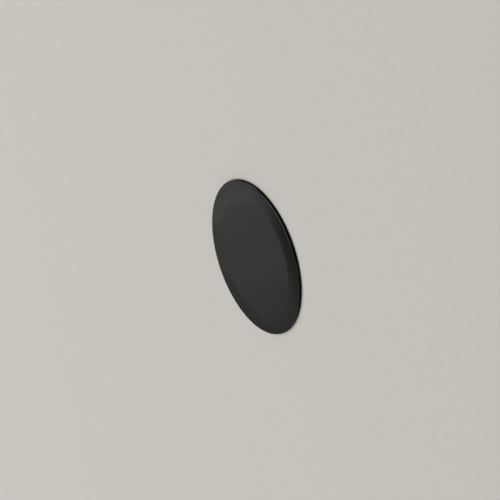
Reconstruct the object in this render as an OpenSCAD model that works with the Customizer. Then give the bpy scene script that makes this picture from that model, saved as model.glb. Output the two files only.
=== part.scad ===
// Stick-on magnetic adapter for the back of a phone: a plain black disc, 57 mm across and 1.3 mm thick.
// Foam tape on its back holds it to the phone, and a ring of flat magnets under its bevelled band
// pulls it onto a magnetic mount. The origin is the centre of the tape's back face, +Z leaves the phone
// and +Y points to the phone's top.

/* [Shell] */
// Thickness of the shell's side wall
wall_t = 0.75; // [0.5:0.05:1.5]
// Thickness of the shell's roof under the flat plateau
roof_t = 0.4; // [0.35:0.05:1]
// Width of the bevelled band between the plateau's edge and the side wall
band_w = 6.45; // [4:0.05:9]
// Slope of the band where it leaves the plateau, in degrees
band_slope = 1.4; // [0.8:0.1:1.7]
// Radius of the band's convex crown, seen in section
band_crown_r = 570; // [400:10:900]
// Radius of the rounded outer edge between the band and the side wall
edge_r = 0.45; // [0.2:0.05:0.5]
// Chamfer round the foot of the side wall
foot_chamfer = 0.1; // [0.05:0.01:0.15]

/* [Magnets] */
// Number of magnets in the ring
magnet_count = 18; // [12:2:24]
// Outer diameter of the ring of magnets
magnet_ring_d = 54.2; // [50:0.1:60]
// Radial width of each magnet
magnet_w = 4; // [3:0.1:6]
// Thickness of each magnet
magnet_t = 0.45; // [0.4:0.05:1.5]
// Chamfer along the curved edges of each magnet
magnet_chamfer = 0.08; // [0.03:0.01:0.15]
// Clearance on every side of a magnet in its pocket
magnet_fit = 0.05; // [0.02:0.01:0.1]

/* [Shunt] */
// Thickness of the steel ring behind the magnets
shunt_t = 0.1; // [0.1:0.05:0.3]
// Width by which the steel ring stands out past the magnets, inside and outside
shunt_lip = 0.1; // [0:0.05:0.2]
// Clearance between the steel ring and the sides of its groove
shunt_fit = 0.05; // [0.02:0.01:0.1]

/* [Carrier] */
// Width of the rib between two magnets, halfway across the ring
rib_w = 0.8; // [0.5:0.1:1.5]
// Width of the carrier's rim outside the magnets
rim_w = 0.65; // [0.5:0.05:2]
// Clearance between the carrier or the back plate and the shell's side wall
shell_fit = 0.05; // [0.02:0.01:0.1]

/* [Back] */
// Thickness of the plate that closes the shell
plate_t = 0.15; // [0.1:0.05:0.5]
// Thickness of the adhesive foam tape
tape_t = 0.2; // [0.1:0.05:1]
// Distance that the tape's edge is set back from the shell's side wall
tape_setback = 0.6; // [0.3:0.05:1.5]

/* [Hidden] */
$fn = 180;
band_steps = 12;
edge_steps = 12;
overcut = 1;

// Radii, from the magnets outward
magnet_r_out = magnet_ring_d / 2;
magnet_r_in = magnet_r_out - magnet_w;
magnet_r_mid = magnet_r_out - magnet_w / 2;
shunt_r_out = magnet_r_out + shunt_lip;
shunt_r_in = magnet_r_in - shunt_lip;
carrier_r = magnet_r_out + rim_w;
cavity_r = carrier_r + shell_fit;
shell_r = cavity_r + wall_t;
plateau_r = shell_r - band_w;
tape_r = shell_r - tape_setback;

// Heights, from the back face upward
plate_z = tape_t;
carrier_z = plate_z + plate_t;
magnet_z = carrier_z + shunt_t;
ceiling_z = magnet_z + magnet_t;
plateau_z = ceiling_z + roof_t;

// The band's crown is an arc that leaves the plateau's edge at band_slope. The rounded edge is a smaller
// arc that touches it from inside and ends upright on the side wall.
crown_x = plateau_r - band_crown_r * sin(band_slope);
crown_z = plateau_z - band_crown_r * cos(band_slope);
edge_x = shell_r - edge_r;
edge_slope = asin((edge_x - crown_x) / (band_crown_r - edge_r));
edge_z = crown_z + (band_crown_r - edge_r) * cos(edge_slope);

// Angles round the ring
pitch = 360 / magnet_count;
gap_angle = arc_angle(rib_w + 2 * magnet_fit);
magnet_angle = pitch - gap_angle;

function magnet_name(i) = str("magnet_", i < 10 ? "0" : "", i);

// The angle that a length takes up along the middle of the ring of magnets
function arc_angle(length) = length / magnet_r_mid * 180 / PI;

// Points of an arc in section, from one slope to another. Slope 0 faces up and slope 90 faces outward.
function section_arc(x, z, r, from, to, steps) = [
    for (k = [0 : steps]) let (slope = from + (to - from) * k / steps)
        [x + r * sin(slope), z + r * cos(slope)]
];

// Section of a block of the ring, with plain or chamfered corners
function block_section(r_in, r_out, height, chamfer) = chamfer == 0
    ? [[r_in, 0], [r_out, 0], [r_out, height], [r_in, height]]
    : [
        [r_in + chamfer, 0], [r_out - chamfer, 0],
        [r_out, chamfer], [r_out, height - chamfer],
        [r_out - chamfer, height], [r_in + chamfer, height],
        [r_in, height - chamfer], [r_in, chamfer]
    ];

// One block of the ring, centred on the +X axis before it is turned to its place
module ring_block(r_in, r_out, angle, height, chamfer = 0) {
    rotate([0, 0, -angle / 2])
        rotate_extrude(angle = angle)
            polygon(block_section(r_in, r_out, height, chamfer));
}

module ring(r_in, r_out, height) {
    difference() {
        cylinder(r = r_out, h = height);
        translate([0, 0, -overcut])
            cylinder(r = r_in, h = height + 2 * overcut);
    }
}

// Magnet 1 lies just past the +X axis, so that ribs, not magnets, lie on the four main axes
module at_magnet(i) {
    rotate([0, 0, (i - 0.5) * pitch])
        children();
}

// Black moulded cover: a flat plateau, a slightly domed band over the magnets, a rounded edge
// and a side wall that reaches down to the tape
module front_shell() {
    color("#2f302e")
        rotate_extrude()
            polygon(concat(
                [[0, ceiling_z], [0, plateau_z]],
                section_arc(crown_x, crown_z, band_crown_r, band_slope, edge_slope, band_steps),
                section_arc(edge_x, edge_z, edge_r, edge_slope, 90, edge_steps),
                [
                    [shell_r, plate_z + foot_chamfer],
                    [shell_r - foot_chamfer, plate_z],
                    [cavity_r, plate_z],
                    [cavity_r, ceiling_z]
                ]
            ));
}

// Moulded disc that fills the shell and keeps every magnet apart from the next, which it would
// otherwise pull itself against. The groove in its back takes the steel ring.
module magnet_carrier() {
    color("#3a3a3c")
        translate([0, 0, carrier_z])
            difference() {
                cylinder(r = carrier_r, h = shunt_t + magnet_t);
                translate([0, 0, -overcut])
                    ring(shunt_r_in - shunt_fit, shunt_r_out + shunt_fit, shunt_t + overcut);
                for (i = [1 : magnet_count])
                    at_magnet(i) magnet_pocket();
            }
}

module magnet_pocket() {
    ring_block(
        magnet_r_in - magnet_fit,
        magnet_r_out + magnet_fit,
        magnet_angle + arc_angle(2 * magnet_fit),
        shunt_t + magnet_t + overcut
    );
}

module magnet(i) {
    color("#c9c7c1")
        at_magnet(i)
            translate([0, 0, magnet_z])
                ring_block(magnet_r_in, magnet_r_out, magnet_angle, magnet_t, magnet_chamfer);
}

// Soft steel ring that closes the magnets' field behind them
module steel_shunt() {
    color("#8d9093")
        translate([0, 0, carrier_z])
            ring(shunt_r_in, shunt_r_out, shunt_t);
}

module back_plate() {
    color("#2a2a2a")
        translate([0, 0, plate_z])
            cylinder(r = carrier_r, h = plate_t);
}

module adhesive_pad() {
    color("#161616")
        cylinder(r = tape_r, h = tape_t);
}

front_shell();
magnet_carrier();
steel_shunt();
back_plate();
adhesive_pad();
for (i = [1 : magnet_count])
    magnet(i);
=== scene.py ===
import math

import bpy
from mathutils import Matrix, Vector


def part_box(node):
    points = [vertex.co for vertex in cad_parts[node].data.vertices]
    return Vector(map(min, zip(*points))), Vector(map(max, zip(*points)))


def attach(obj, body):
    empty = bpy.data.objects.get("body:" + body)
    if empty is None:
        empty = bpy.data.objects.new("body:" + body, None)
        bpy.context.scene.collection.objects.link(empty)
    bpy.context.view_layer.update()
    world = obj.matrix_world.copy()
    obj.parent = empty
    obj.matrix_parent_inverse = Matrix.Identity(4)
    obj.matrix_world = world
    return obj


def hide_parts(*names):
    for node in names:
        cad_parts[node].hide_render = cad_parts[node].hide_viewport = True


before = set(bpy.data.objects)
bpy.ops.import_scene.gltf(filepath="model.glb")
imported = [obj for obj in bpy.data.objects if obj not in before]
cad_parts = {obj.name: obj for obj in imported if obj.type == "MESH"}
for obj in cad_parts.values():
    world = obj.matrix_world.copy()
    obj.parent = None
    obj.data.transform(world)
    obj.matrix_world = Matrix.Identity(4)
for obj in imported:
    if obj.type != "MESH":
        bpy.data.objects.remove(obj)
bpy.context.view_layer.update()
mm = 0.001  # m

# The camera looks at a point near the disc's middle, and its roll stands the disc on edge
cameraSet = {
    "aim": (-3.93, 2.2, 0.0),  # mm
    "azimuth": 13.35,  # degrees from +X, towards +Y
    "elevation": 27.46,
    "distance": 732.1,  # mm
    "roll": -108.6,
    "lens": 148.4,  # mm
    "sensor": 36,  # mm
    "nearest": 0.01,  # m
    "farthest": 50,
}


def hexColour(code):
    # sRGB hex to the linear values that shaders take, opaque
    channels = [int(code[i : i + 2], 16) / 255 for i in (1, 3, 5)]
    linear = [c / 12.92 if c <= 0.04045 else ((c + 0.055) / 1.055) ** 2.4 for c in channels]
    return (*linear, 1.0)


def sphereSpot(azimuth, elevation, distance, centre=(0, 0, 0)):
    # A spot round a centre: angles in degrees, lengths in mm
    a = math.radians(azimuth)
    e = math.radians(elevation)
    way = Vector((math.cos(e) * math.cos(a), math.cos(e) * math.sin(a), math.sin(e)))
    return Vector(centre) * mm + way * distance * mm


def standAt(spot, target):
    # Place of a camera or lamp that stands at a spot and looks at a target
    look = (target - spot).to_track_quat("-Z", "Y").to_matrix().to_4x4()
    return Matrix.Translation(spot) @ look


def placeCamera():
    data = bpy.data.cameras.new("photoCamera")
    data.lens = cameraSet["lens"]
    data.sensor_width = cameraSet["sensor"]
    data.clip_start = cameraSet["nearest"]
    data.clip_end = cameraSet["farthest"]
    camera = bpy.data.objects.new("photoCamera", data)
    bpy.context.scene.collection.objects.link(camera)
    aim = cameraSet["aim"]
    spot = sphereSpot(cameraSet["azimuth"], cameraSet["elevation"], cameraSet["distance"], aim)
    roll = Matrix.Rotation(math.radians(cameraSet["roll"]), 4, "Z")
    camera.matrix_world = standAt(spot, Vector(aim) * mm) @ roll
    bpy.context.scene.camera = camera
    print("camera placed")


# Meshes

hair = 0.01 * mm  # slack when edges are picked by their place
levelFace = 0.99  # a face whose normal's z passes this lies level


def deselectAll():
    if bpy.context.object and bpy.context.object.mode != "OBJECT":
        bpy.ops.object.mode_set(mode="OBJECT")
    bpy.ops.object.select_all(action="DESELECT")


def pickFaces(piece, test):
    # Selects the faces whose centre and normal pass the test, and no others
    bpy.ops.mesh.select_all(action="DESELECT")
    bpy.ops.mesh.select_mode(type="FACE")
    bpy.ops.object.mode_set(mode="OBJECT")
    for face in piece.data.polygons:
        face.select = test(face.center, face.normal)
    bpy.ops.object.mode_set(mode="EDIT")


def pickEdges(piece, test):
    # Selects the edges whose two ends pass the test, and no others
    bpy.ops.mesh.select_all(action="DESELECT")
    bpy.ops.mesh.select_mode(type="EDGE")
    bpy.ops.object.mode_set(mode="OBJECT")
    spots = [vertex.co for vertex in piece.data.vertices]
    for edge in piece.data.edges:
        edge.select = all(test(spots[i]) for i in edge.vertices)
    bpy.ops.object.mode_set(mode="EDIT")


def turnedBlank(name, radius, low, high, sides):
    # A round blank between two heights, left in edit mode
    deselectAll()
    bpy.ops.mesh.primitive_cylinder_add(
        vertices=sides,
        radius=radius,
        depth=high - low,
        end_fill_type="NGON",
        location=(0, 0, (low + high) / 2),
    )
    piece = bpy.context.object
    piece.name = name
    piece.data.name = name
    bpy.ops.object.transform_apply(location=True, rotation=True, scale=True)
    bpy.ops.object.mode_set(mode="EDIT")
    return piece


def finishPiece(piece, angle):
    bpy.ops.object.mode_set(mode="OBJECT")
    deselectAll()
    piece.select_set(True)
    bpy.context.view_layer.objects.active = piece
    bpy.ops.object.shade_smooth_by_angle(angle=math.radians(angle))
    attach(piece, "root")


shellSet = {
    "sides": 360,
    "plateauRadius": 22.1,  # mm, as are all sizes here
    "bandSlope": 1.4,  # degrees, where the band leaves the plateau
    "crownRadius": 570.0,
    "bandLoops": 12,
    "plateauLoops": (0.12, 0.5),  # close loops that keep its edge crisp and the rest of it flat
    "edgeRadius": 0.45,
    "edgeSegments": 10,
    "footChamfer": 0.1,
    "footSegments": 2,
    "cavityRadius": 27.8,
    "ceiling": 0.9,  # height of the roof's inner face
    "smoothAngle": 25,  # degrees
}


def bandHeight(radius, topZ):
    # Height of the domed band at a radius, on the arc that leaves the plateau's edge at bandSlope
    crown = shellSet["crownRadius"] * mm
    slope = math.radians(shellSet["bandSlope"])
    middle = shellSet["plateauRadius"] * mm - crown * math.sin(slope)
    return topZ - crown * math.cos(slope) + math.sqrt(crown**2 - (radius - middle) ** 2)


def makeShell():
    low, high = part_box("front_shell")
    radius = high.x
    plateau = shellSet["plateauRadius"] * mm
    loops = shellSet["bandLoops"]
    step = (radius - plateau) / loops
    rimZ = bandHeight(radius, high.z)
    shell = turnedBlank("frontShell", radius, low.z, rimZ, shellSet["sides"])

    # The band: insets from the rim inward, each lifted to the crown's height
    pickFaces(shell, lambda centre, normal: normal.z > levelFace)
    for i in range(1, loops + 1):
        bpy.ops.mesh.inset(thickness=step, depth=0)
        rise = bandHeight(radius - i * step, high.z) - bandHeight(radius - (i - 1) * step, high.z)
        bpy.ops.transform.translate(value=(0, 0, rise))
    for gap in shellSet["plateauLoops"]:
        bpy.ops.mesh.inset(thickness=gap * mm, depth=0)

    # The rounded outer edge and the foot's small chamfer
    pickEdges(shell, lambda co: co.to_2d().length > radius - hair and co.z > rimZ - hair)
    bpy.ops.mesh.bevel(
        offset=shellSet["edgeRadius"] * mm,
        segments=shellSet["edgeSegments"],
        profile=0.5,
        affect="EDGES",
    )
    pickEdges(shell, lambda co: co.to_2d().length > radius - hair and co.z < low.z + hair)
    bpy.ops.mesh.bevel(
        offset=shellSet["footChamfer"] * mm,
        segments=shellSet["footSegments"],
        profile=0.5,
        affect="EDGES",
    )

    # The hollow behind the front
    pickFaces(shell, lambda centre, normal: normal.z < -levelFace)
    footWidth = radius - shellSet["footChamfer"] * mm - shellSet["cavityRadius"] * mm
    bpy.ops.mesh.inset(thickness=footWidth, depth=0)
    bpy.ops.mesh.extrude_region_move(
        TRANSFORM_OT_translate={"value": (0, 0, shellSet["ceiling"] * mm - low.z)}
    )
    finishPiece(shell, shellSet["smoothAngle"])
    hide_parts("front_shell")
    print("shell modelled,", len(shell.data.polygons), "faces")
    return shell


tapeSet = {
    "sides": 256,
    "softEdge": 0.05,  # mm, left by the die
    "softSegments": 3,
    "smoothAngle": 30,  # degrees
}


def makeTape():
    low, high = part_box("adhesive_pad")
    tape = turnedBlank("foamTape", high.x, low.z, high.z, tapeSet["sides"])
    for onEdge in (lambda co: co.z > high.z - hair, lambda co: co.z < low.z + hair):
        pickEdges(tape, onEdge)
        bpy.ops.mesh.bevel(
            offset=tapeSet["softEdge"] * mm,
            segments=tapeSet["softSegments"],
            profile=0.5,
            affect="EDGES",
        )
    finishPiece(tape, tapeSet["smoothAngle"])
    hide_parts("adhesive_pad")
    print("tape modelled")
    return tape


# Materials

def addNode(material, kind, links=None, values=None, **settings):
    # Adds a node: links feed its inputs, values set its inputs, and settings set the node itself
    node = material.node_tree.nodes.new(kind)
    for name, value in settings.items():
        setattr(node, name, value)
    for key, value in (values or {}).items():
        node.inputs[key].default_value = value
    for key, output in (links or {}).items():
        material.node_tree.links.new(output, node.inputs[key])
    return node


def newMaterial(name):
    material = bpy.data.materials.new(name)
    material.use_nodes = True
    material.node_tree.nodes.clear()
    return material


def closeMaterial(material, shader):
    addNode(material, "ShaderNodeOutputMaterial", {"Surface": shader.outputs["BSDF"]})
    return material


def dress(piece, material):
    piece.data.materials.clear()
    piece.data.materials.append(material)


def patternScale(size):
    # A texture's scale for features of a size in mm, on Object coordinates in metres
    return 1 / (size * mm)


# Most of a noise lies between these values, so they are stretched over a finish's range
noiseSpan = {"From Min": 0.35, "From Max": 0.65}


mouldedSet = {
    "black": "#111110",
    "paleBlack": "#171716",  # where handling has dulled it
    "rubbedBlack": "#1d1d1b",  # on the rounded edge, which pockets and fingers rub
    "polished": 0.075,  # roughness
    "dulled": 0.11,
    "specular": 0.35,
    "ior": 1.46,  # clear polycarbonate has 1.58, and the real disc shines less
    # A spark-eroded mould leaves grain of about 0.05 mm. It is drawn coarser, so that it shows.
    "grainSize": 0.35,  # mm
    "grainDepth": 0.0012,
    "cloudSize": 9.0,  # patches left by handling
    "cloudLow": 0.3,  # the noise at which a patch is fully polished
    "cloudHigh": 0.7,  # and fully dulled
    "rubSize": 1.4,  # length of its lighter and heavier stretches
    "rubFrom": 28.05,  # mm from the axis, just inside the rounded edge
    "rubTo": 28.35,  # where the rub is full
    # painted shade: the side wall is coloured darker than the front, where shade falls on it
    "wallPaintedShade": "#0b0b0b",
    "wallRoughness": 0.6,  # the side wall comes duller from the mould than the front
    "wallSpecular": 0.03,
    "wallHeight": 0.72,  # mm, up to which the wall is dull
    "frontHeight": 1.0,  # from which the front's finish is full
}


def satinMouldedPolycarbonate():
    # Polycarbonate from a fine spark-eroded mould: black and satin, a soft mirror at a low angle
    material = newMaterial("satinMouldedPolycarbonate")
    place = addNode(material, "ShaderNodeTexCoord").outputs["Object"]
    grain = addNode(
        material,
        "ShaderNodeTexNoise",
        {"Vector": place},
        {"Scale": patternScale(mouldedSet["grainSize"]), "Detail": 2.0, "Roughness": 0.6},
    )
    cloud = addNode(
        material,
        "ShaderNodeTexNoise",
        {"Vector": place},
        {"Scale": patternScale(mouldedSet["cloudSize"]), "Detail": 3.0},
    )
    rub = addNode(
        material,
        "ShaderNodeTexNoise",
        {"Vector": place},
        {"Scale": patternScale(mouldedSet["rubSize"]), "Detail": 3.0},
    )
    # The rubbed ring: distance from the axis, broken up by noise
    flat = addNode(
        material,
        "ShaderNodeVectorMath",
        {0: place},
        {1: (1, 1, 0)},
        operation="MULTIPLY",
    )
    reach = addNode(
        material,
        "ShaderNodeVectorMath",
        {0: flat.outputs["Vector"]},
        operation="LENGTH",
    )
    ring = addNode(
        material,
        "ShaderNodeMapRange",
        {"Value": reach.outputs["Value"]},
        {"From Min": mouldedSet["rubFrom"] * mm, "From Max": mouldedSet["rubTo"] * mm},
        interpolation_type="SMOOTHSTEP",
    )
    rubbed = addNode(
        material,
        "ShaderNodeMath",
        {0: ring.outputs["Result"], 1: rub.outputs["Fac"]},
        operation="MULTIPLY",
    )
    # The side wall, by height: its colour is painted darker as painted shade, and its finish is
    # rougher and less shiny
    parts = addNode(material, "ShaderNodeSeparateXYZ", {"Vector": place})
    wall = addNode(
        material,
        "ShaderNodeMapRange",
        {"Value": parts.outputs["Z"]},
        {
            "From Min": mouldedSet["wallHeight"] * mm,
            "From Max": mouldedSet["frontHeight"] * mm,
            "To Min": 1.0,
            "To Max": 0.0,
        },
        interpolation_type="SMOOTHSTEP",
    )
    body = addNode(
        material,
        "ShaderNodeMix",
        {"Factor": cloud.outputs["Fac"]},
        {6: hexColour(mouldedSet["black"]), 7: hexColour(mouldedSet["paleBlack"])},
        data_type="RGBA",
    )
    front = addNode(
        material,
        "ShaderNodeMix",
        {"Factor": rubbed.outputs["Value"], 6: body.outputs[2]},
        {7: hexColour(mouldedSet["rubbedBlack"])},
        data_type="RGBA",
    )
    # the side wall's darker colour is painted shade
    colour = addNode(
        material,
        "ShaderNodeMix",
        {"Factor": wall.outputs["Result"], 6: front.outputs[2]},
        {7: hexColour(mouldedSet["wallPaintedShade"])},
        data_type="RGBA",
    )
    gloss = addNode(
        material,
        "ShaderNodeMapRange",
        {"Value": cloud.outputs["Fac"]},
        {
            "From Min": mouldedSet["cloudLow"],
            "From Max": mouldedSet["cloudHigh"],
            "To Min": mouldedSet["polished"],
            "To Max": mouldedSet["dulled"],
        },
    )
    roughness = addNode(
        material,
        "ShaderNodeMix",
        {"Factor": wall.outputs["Result"], "A": gloss.outputs["Result"]},
        {"B": mouldedSet["wallRoughness"]},
        data_type="FLOAT",
    )
    specular = addNode(
        material,
        "ShaderNodeMix",
        {"Factor": wall.outputs["Result"]},
        {"A": mouldedSet["specular"], "B": mouldedSet["wallSpecular"]},
        data_type="FLOAT",
    )
    bump = addNode(
        material,
        "ShaderNodeBump",
        {"Height": grain.outputs["Fac"]},
        {"Strength": 1.0, "Distance": mouldedSet["grainDepth"] * mm},
    )
    shader = addNode(
        material,
        "ShaderNodeBsdfPrincipled",
        {
            "Base Color": colour.outputs[2],
            "Roughness": roughness.outputs[0],
            "Specular IOR Level": specular.outputs[0],
            "Normal": bump.outputs["Normal"],
        },
        {"IOR": mouldedSet["ior"]},
    )
    return closeMaterial(material, shader)


foamSet = {
    "black": "#0e0e0e",
    "cellBlack": "#1a1a19",
    # Real cells are about 0.1 mm across. They are drawn coarser, so that they show.
    "cellSize": 0.3,  # mm
    "cellDepth": 0.015,
    "tackSize": 6.0,  # patches where the adhesive has wetted out
    "wet": 0.42,  # roughness
    "dry": 0.7,
    "ior": 1.47,
}


def acrylicFoamTape():
    # Closed-cell acrylic foam tape, die-cut: dull black and finely pitted, tacky in patches
    material = newMaterial("acrylicFoamTape")
    place = addNode(material, "ShaderNodeTexCoord").outputs["Object"]
    cells = addNode(
        material,
        "ShaderNodeTexVoronoi",
        {"Vector": place},
        {"Scale": patternScale(foamSet["cellSize"]), "Smoothness": 0.4},
        feature="SMOOTH_F1",
    )
    tack = addNode(
        material,
        "ShaderNodeTexNoise",
        {"Vector": place},
        {"Scale": patternScale(foamSet["tackSize"]), "Detail": 4.0},
    )
    colour = addNode(
        material,
        "ShaderNodeMix",
        {"Factor": cells.outputs["Distance"]},
        {6: hexColour(foamSet["black"]), 7: hexColour(foamSet["cellBlack"])},
        data_type="RGBA",
    )
    roughness = addNode(
        material,
        "ShaderNodeMapRange",
        {"Value": tack.outputs["Fac"]},
        {**noiseSpan, "To Min": foamSet["wet"], "To Max": foamSet["dry"]},
    )
    bump = addNode(
        material,
        "ShaderNodeBump",
        {"Height": cells.outputs["Distance"]},
        {"Strength": 1.0, "Distance": foamSet["cellDepth"] * mm},
    )
    shader = addNode(
        material,
        "ShaderNodeBsdfPrincipled",
        {
            "Base Color": colour.outputs[2],
            "Roughness": roughness.outputs["Result"],
            "Normal": bump.outputs["Normal"],
        },
        {"IOR": foamSet["ior"]},
    )
    return closeMaterial(material, shader)


sheetSet = {
    "black": "#131313",
    "paleBlack": "#1e1e1e",
    "velvetSize": 0.2,  # mm between the tops of the embossing
    "velvetDepth": 0.006,
    "roughness": 0.5,
    "ior": 1.58,
}


def velvetPolycarbonateSheet():
    # Extruded polycarbonate sheet, embossed by its rollers: flat black with a fine even haze
    material = newMaterial("velvetPolycarbonateSheet")
    place = addNode(material, "ShaderNodeTexCoord").outputs["Object"]
    velvet = addNode(
        material,
        "ShaderNodeTexNoise",
        {"Vector": place},
        {"Scale": patternScale(sheetSet["velvetSize"]), "Detail": 2.0},
    )
    colour = addNode(
        material,
        "ShaderNodeMix",
        {"Factor": velvet.outputs["Fac"]},
        {6: hexColour(sheetSet["black"]), 7: hexColour(sheetSet["paleBlack"])},
        data_type="RGBA",
    )
    bump = addNode(
        material,
        "ShaderNodeBump",
        {"Height": velvet.outputs["Fac"]},
        {"Strength": 1.0, "Distance": sheetSet["velvetDepth"] * mm},
    )
    shader = addNode(
        material,
        "ShaderNodeBsdfPrincipled",
        {"Base Color": colour.outputs[2], "Normal": bump.outputs["Normal"]},
        {"Roughness": sheetSet["roughness"], "IOR": sheetSet["ior"]},
    )
    return closeMaterial(material, shader)


nylonSet = {
    "grey": "#29292b",
    "fibreGrey": "#414143",
    # Real glass fibres are 0.3 mm long and 0.01 mm thick. They are drawn coarser, to show.
    "fibreLength": 1.6,  # mm
    "fibreWidth": 0.16,
    "fibreDepth": 0.004,
    "resinRich": 0.42,  # roughness
    "fibreRich": 0.62,
    "ior": 1.53,
}


def glassFilledNylon():
    # Glass-filled nylon, moulded: dark grey and matt, with pale fibre streaks along the flow
    material = newMaterial("glassFilledNylon")
    place = addNode(material, "ShaderNodeTexCoord").outputs["Object"]
    flow = addNode(
        material,
        "ShaderNodeMapping",
        {"Vector": place},
        {"Scale": (nylonSet["fibreWidth"] / nylonSet["fibreLength"], 1, 1)},
    )
    fibres = addNode(
        material,
        "ShaderNodeTexNoise",
        {"Vector": flow.outputs["Vector"]},
        {"Scale": patternScale(nylonSet["fibreWidth"]), "Detail": 2.0, "Distortion": 0.3},
    )
    colour = addNode(
        material,
        "ShaderNodeMix",
        {"Factor": fibres.outputs["Fac"]},
        {6: hexColour(nylonSet["grey"]), 7: hexColour(nylonSet["fibreGrey"])},
        data_type="RGBA",
    )
    roughness = addNode(
        material,
        "ShaderNodeMapRange",
        {"Value": fibres.outputs["Fac"]},
        {**noiseSpan, "To Min": nylonSet["resinRich"], "To Max": nylonSet["fibreRich"]},
    )
    bump = addNode(
        material,
        "ShaderNodeBump",
        {"Height": fibres.outputs["Fac"]},
        {"Strength": 1.0, "Distance": nylonSet["fibreDepth"] * mm},
    )
    shader = addNode(
        material,
        "ShaderNodeBsdfPrincipled",
        {
            "Base Color": colour.outputs[2],
            "Roughness": roughness.outputs["Result"],
            "Normal": bump.outputs["Normal"],
        },
        {"IOR": nylonSet["ior"]},
    )
    return closeMaterial(material, shader)


stripSet = {
    "zinc": "#b4b9bd",
    "dullZinc": "#94989b",
    "lineLength": 12.0,  # mm
    "lineWidth": 0.12,
    "lineDepth": 0.0015,
    "bloomSize": 5.0,  # cloudy patches in the plating
    "bright": 0.3,  # roughness
    "dull": 0.46,
}


def zincPlatedSteelStrip():
    # Cold-rolled steel strip, zinc-plated: cool grey, with fine rolling lines and cloudy patches
    material = newMaterial("zincPlatedSteelStrip")
    place = addNode(material, "ShaderNodeTexCoord").outputs["Object"]
    rolled = addNode(
        material,
        "ShaderNodeMapping",
        {"Vector": place},
        {"Scale": (stripSet["lineWidth"] / stripSet["lineLength"], 1, 1)},
    )
    lines = addNode(
        material,
        "ShaderNodeTexNoise",
        {"Vector": rolled.outputs["Vector"]},
        {"Scale": patternScale(stripSet["lineWidth"]), "Detail": 3.0},
    )
    bloom = addNode(
        material,
        "ShaderNodeTexNoise",
        {"Vector": place},
        {"Scale": patternScale(stripSet["bloomSize"]), "Detail": 4.0},
    )
    colour = addNode(
        material,
        "ShaderNodeMix",
        {"Factor": bloom.outputs["Fac"]},
        {6: hexColour(stripSet["zinc"]), 7: hexColour(stripSet["dullZinc"])},
        data_type="RGBA",
    )
    roughness = addNode(
        material,
        "ShaderNodeMapRange",
        {"Value": bloom.outputs["Fac"]},
        {**noiseSpan, "To Min": stripSet["bright"], "To Max": stripSet["dull"]},
    )
    bump = addNode(
        material,
        "ShaderNodeBump",
        {"Height": lines.outputs["Fac"]},
        {"Strength": 1.0, "Distance": stripSet["lineDepth"] * mm},
    )
    shader = addNode(
        material,
        "ShaderNodeBsdfPrincipled",
        {
            "Base Color": colour.outputs[2],
            "Roughness": roughness.outputs["Result"],
            "Normal": bump.outputs["Normal"],
        },
        {"Metallic": 1.0},
    )
    return closeMaterial(material, shader)


nickelSet = {
    "nickel": "#c9c4b8",
    "warmNickel": "#b5aea0",
    "tumbleSize": 0.4,  # mm, the dimples from tumbling before plating
    "tumbleDepth": 0.005,
    "tintSize": 3.0,
    "bright": 0.2,  # roughness
    "dull": 0.34,
}


def tumbledNickelPlate():
    # Sintered magnets, tumbled and nickel-plated: warm silver, satin, with soft dimples
    material = newMaterial("tumbledNickelPlate")
    place = addNode(material, "ShaderNodeTexCoord").outputs["Object"]
    dimples = addNode(
        material,
        "ShaderNodeTexNoise",
        {"Vector": place},
        {"Scale": patternScale(nickelSet["tumbleSize"]), "Detail": 2.0},
    )
    tint = addNode(
        material,
        "ShaderNodeTexNoise",
        {"Vector": place},
        {"Scale": patternScale(nickelSet["tintSize"]), "Detail": 3.0},
    )
    colour = addNode(
        material,
        "ShaderNodeMix",
        {"Factor": tint.outputs["Fac"]},
        {6: hexColour(nickelSet["nickel"]), 7: hexColour(nickelSet["warmNickel"])},
        data_type="RGBA",
    )
    roughness = addNode(
        material,
        "ShaderNodeMapRange",
        {"Value": dimples.outputs["Fac"]},
        {**noiseSpan, "To Min": nickelSet["bright"], "To Max": nickelSet["dull"]},
    )
    bump = addNode(
        material,
        "ShaderNodeBump",
        {"Height": dimples.outputs["Fac"]},
        {"Strength": 1.0, "Distance": nickelSet["tumbleDepth"] * mm},
    )
    shader = addNode(
        material,
        "ShaderNodeBsdfPrincipled",
        {
            "Base Color": colour.outputs[2],
            "Roughness": roughness.outputs["Result"],
            "Normal": bump.outputs["Normal"],
        },
        {"Metallic": 1.0},
    )
    return closeMaterial(material, shader)


def dressNodes():
    # The inner pieces keep their CAD shapes
    dress(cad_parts["back_plate"], velvetPolycarbonateSheet())
    dress(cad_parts["magnet_carrier"], glassFilledNylon())
    dress(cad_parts["steel_shunt"], zincPlatedSteelStrip())
    nickel = tumbledNickelPlate()
    magnets = [
        node
        for name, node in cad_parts.items()
        if name.removeprefix("magnet_").isdigit()
    ]
    for magnet in magnets:
        dress(magnet, nickel)
    print("inner pieces dressed,", len(magnets), "magnets among them")


# Floor and light

stageSet = {
    "holeRadius": 27.8,  # mm, just inside the tape's edge
    "holeSides": 256,
    "reaches": (100, 700),  # mm, radii of a first ring round the hole and of the whole floor
    "floorColour": "#f1eee7",
    "speckColour": "#ebe8e1",
    "speckSize": 2.5,
    "floorRoughness": 0.85,
}


def mattPaperSweep():
    # Uncoated paper from a roll: matt and pale, with hardly visible mottling
    material = newMaterial("mattPaperSweep")
    place = addNode(material, "ShaderNodeTexCoord").outputs["Object"]
    specks = addNode(
        material,
        "ShaderNodeTexNoise",
        {"Vector": place},
        {"Scale": patternScale(stageSet["speckSize"]), "Detail": 3.0},
    )
    colour = addNode(
        material,
        "ShaderNodeMix",
        {"Factor": specks.outputs["Fac"]},
        {6: hexColour(stageSet["floorColour"]), 7: hexColour(stageSet["speckColour"])},
        data_type="RGBA",
    )
    shader = addNode(
        material,
        "ShaderNodeBsdfPrincipled",
        {"Base Color": colour.outputs[2]},
        {"Roughness": stageSet["floorRoughness"]},
    )
    return closeMaterial(material, shader)


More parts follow.
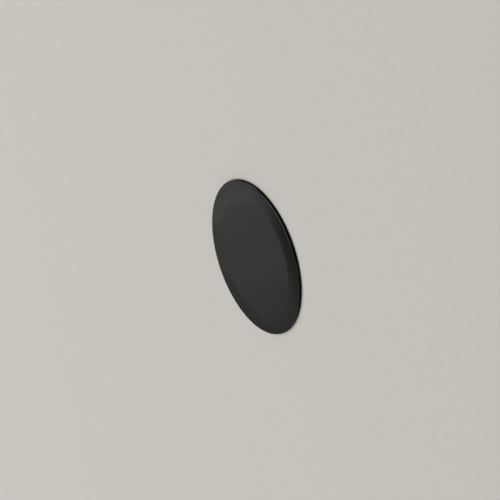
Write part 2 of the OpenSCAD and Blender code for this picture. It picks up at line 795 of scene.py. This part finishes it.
def makeFloor():
    # The floor is open under the tape, so the disc's back can be seen from below
    deselectAll()
    radius = stageSet["holeRadius"] * mm
    bpy.ops.mesh.primitive_circle_add(
        vertices=stageSet["holeSides"],
        radius=radius,
        fill_type="NOTHING",
        location=(0, 0, 0),
    )
    floor = bpy.context.object
    floor.name = "studioFloor"
    bpy.ops.object.mode_set(mode="EDIT")
    for reach in stageSet["reaches"]:
        grow = reach * mm / radius
        bpy.ops.mesh.extrude_region_move(TRANSFORM_OT_translate={"value": (0, 0, 0)})
        bpy.ops.transform.resize(value=(grow, grow, 1))
        radius = reach * mm
    bpy.ops.mesh.select_all(action="SELECT")
    bpy.ops.mesh.normals_make_consistent(inside=False)
    bpy.ops.object.mode_set(mode="OBJECT")
    dress(floor, mattPaperSweep())
    print("floor laid")


airSet = {
    "airColour": "#f2eee6",
    "airStrength": 0.138,
    "wallStrength": 0.66,  # the studio's pale walls, seen only just above the floor
    "wallTop": 0.2,  # sine of the elevation at which the walls have faded out
}


def makeWorld():
    # Dim air overhead, and pale walls that fade upwards from the floor
    world = bpy.data.worlds.new("studioAir")
    bpy.context.scene.world = world
    world.use_nodes = True
    world.node_tree.nodes.clear()
    way = addNode(world, "ShaderNodeTexCoord").outputs["Generated"]
    parts = addNode(world, "ShaderNodeSeparateXYZ", {"Vector": way})
    strength = addNode(
        world,
        "ShaderNodeMapRange",
        {"Value": parts.outputs["Z"]},
        {
            "From Min": 0.0,
            "From Max": airSet["wallTop"],
            "To Min": airSet["wallStrength"],
            "To Max": airSet["airStrength"],
        },
        interpolation_type="SMOOTHSTEP",
    )
    air = addNode(
        world,
        "ShaderNodeBackground",
        {"Strength": strength.outputs["Result"]},
        {"Color": hexColour(airSet["airColour"])},
    )
    addNode(world, "ShaderNodeOutputWorld", {"Surface": air.outputs["Background"]})
    print("world set")


lampDistance = 3000  # mm

# Softboxes and white boards round the disc, all aimed at it
lampSet = [
    # name, azimuth, elevation, width mm, height mm, watts
    ("keySoftbox", 160, 64, 1950, 1390, 32.0),
    ("sideSoftbox", 245, 50, 1830, 1500, 9.8),
    ("rightSoftbox", 325, 58, 840, 840, 6.6),
    ("backSoftbox", 135, 36, 1290, 950, 9.9),
    ("lowSoftbox", 255, 18, 1520, 840, 6.7),
    ("tallBoard", 175.5, 24.5, 1500, 900, 0.95),
    ("longBoard", 177, 22.5, 1690, 900, 0.47),
    ("cornerBoard", 202.5, 21.5, 1240, 1000, 0.55),
    ("smallBoard", 192, 29, 550, 310, 0.057),
]


def makeLamps():
    for name, azimuth, elevation, width, height, watts in lampSet:
        data = bpy.data.lights.new(name, "AREA")
        data.shape = "RECTANGLE"
        data.size = width * mm
        data.size_y = height * mm
        data.energy = watts
        lamp = bpy.data.objects.new(name, data)
        bpy.context.scene.collection.objects.link(lamp)
        lamp.visible_camera = False
        spot = sphereSpot(azimuth, elevation, lampDistance)
        lamp.matrix_world = standAt(spot, Vector((0, 0, 0)))
    print("lamps hung")


placeCamera()
shellPiece = makeShell()
tapePiece = makeTape()
dress(shellPiece, satinMouldedPolycarbonate())
dress(tapePiece, acrylicFoamTape())
dressNodes()
makeFloor()
makeWorld()
makeLamps()
bpy.context.scene.view_settings.view_transform = "Standard"
